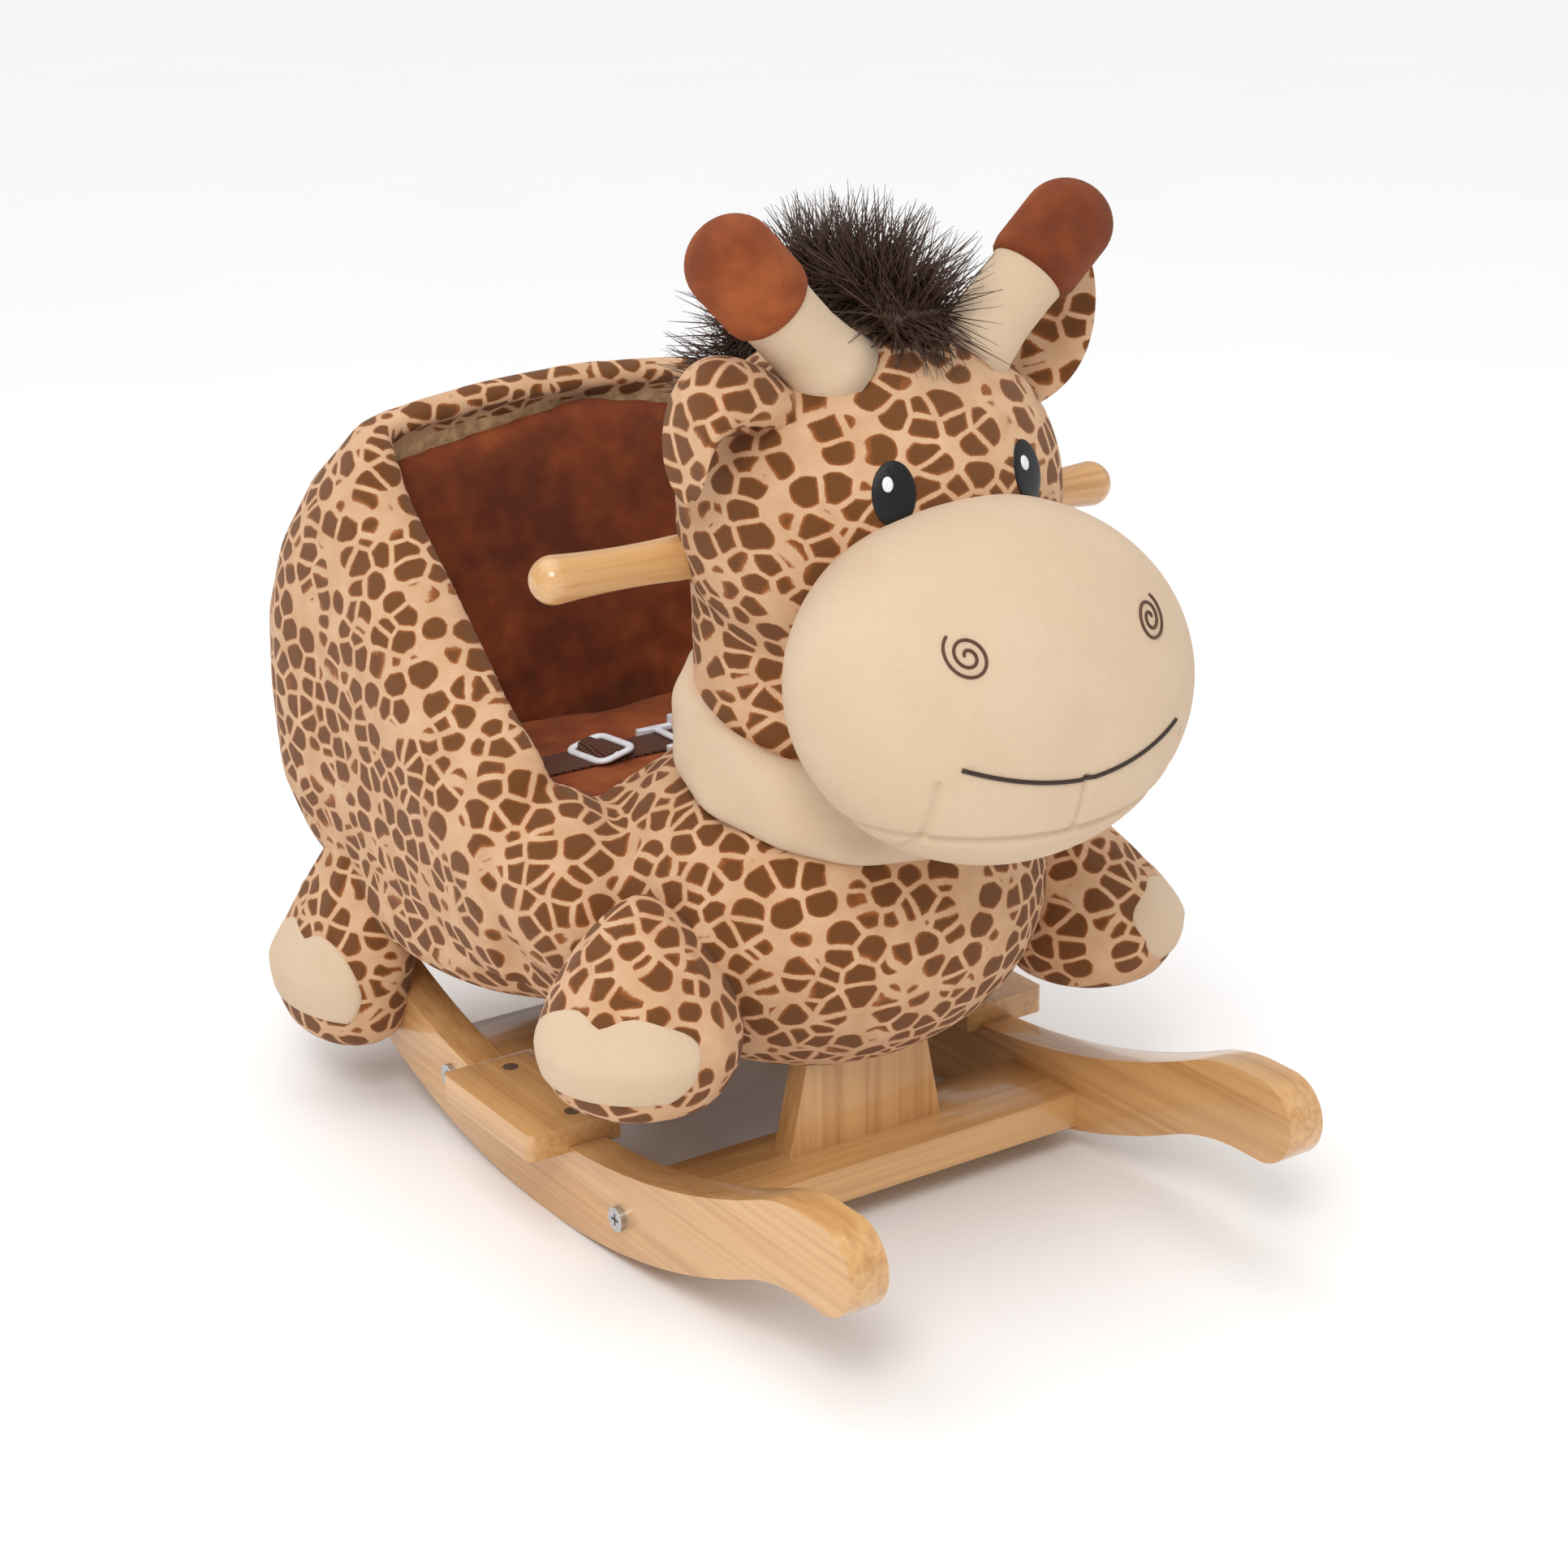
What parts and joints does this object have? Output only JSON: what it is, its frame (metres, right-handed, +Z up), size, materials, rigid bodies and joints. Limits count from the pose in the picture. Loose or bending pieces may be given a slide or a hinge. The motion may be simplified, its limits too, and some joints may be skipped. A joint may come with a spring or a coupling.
{
  "type": "plush rocking animal",
  "caption": "Toddler's plush giraffe rocker: padded bucket seat, lap belt and wooden grips on a bowed wooden rocking frame.",
  "frame": {"origin": "on the floor under the middle of the two runners, which is the bottom centre of the box", "axes": "+Z up, the giraffe faces -Y, its left side is +X"},
  "size_m": [0.3676, 0.5168, 0.4895],
  "materials": {
    "wood_varnished": "clear satin varnish on light pine-like wood",
    "plywood": "raw birch plywood, hidden under the covers",
    "zinc_steel": "bright zinc plated steel",
    "plush_print": "short pile plush, cream-pink ground with brown spots",
    "plush_rust": "rust brown short pile plush, mottled",
    "fleece_cream": "cream fleece with a fine nap",
    "fur_brown": "dark brown long pile fur",
    "embroidery_black": "black satin stitch with a white glint",
    "webbing_brown": "ribbed brown polypropylene webbing",
    "plastic_white": "white moulded plastic, semi gloss"
  },
  "bodies": {
    "rocker": {"back_board": "plywood", "back_bolster": "plush_print", "back_lining": "plush_rust", "barrel_nuts": "zinc_steel", "belt_left": "webbing_brown", "board_screws": "zinc_steel", "body_plush": "plush_print", "buckle_socket": "plastic_white", "chair_board": "plywood", "ear_left": "plush_print", "ear_right": "plush_print", "eye_patches": "embroidery_black", "foot_front_left": "plush_print", "foot_front_right": "plush_print", "foot_rear_left": "plush_print", "foot_rear_right": "plush_print", "footrest_left": "wood_varnished", "footrest_right": "wood_varnished", "footrest_screws": "zinc_steel", "frame_bolts": "zinc_steel", "frame_dowels": "wood_varnished", "front_cross_bar": "wood_varnished", "front_post": "wood_varnished", "grip_left": "wood_varnished", "grip_right": "wood_varnished", "handle_rod": "zinc_steel", "head_plush": "plush_print", "horn_bulb_left": "plush_rust", "horn_bulb_right": "plush_rust", "horn_shaft_left": "fleece_cream", "horn_shaft_right": "fleece_cream", "mane": "fur_brown", "muzzle": "fleece_cream", "neck_collar": "fleece_cream", "neck_post": "wood_varnished", "post_screws": "zinc_steel", "rear_cross_bar": "wood_varnished", "rear_post": "wood_varnished", "runner_left": "wood_varnished", "runner_right": "wood_varnished", "seat_cushion": "plush_rust", "side_board_left": "plywood", "side_board_right": "plywood", "side_bolster_left": "plush_print", "side_bolster_right": "plush_print", "side_lining_left": "plush_rust", "side_lining_right": "plush_rust", "toe_patches": "fleece_cream"},
    "tongue_side": {"belt_right": "webbing_brown", "buckle_tongue": "plastic_white"},
    "right_adjuster": {"belt_slide_right": "plastic_white"},
    "left_adjuster": {"belt_slide_left": "plastic_white"}
  },
  "joints": [
    {"name": "buckle_release", "type": "slide", "parent": "rocker", "child": "tongue_side", "axis": [-1, 0, 0], "range_m": [0, 0.018]},
    {"name": "right_belt_adjust", "type": "slide", "parent": "tongue_side", "child": "right_adjuster", "axis": [1, 0, 0], "range_m": [-0.025, 0.014]},
    {"name": "left_belt_adjust", "type": "slide", "parent": "rocker", "child": "left_adjuster", "axis": [1, 0, 0], "range_m": [-0.025, 0.011]}
  ]
}
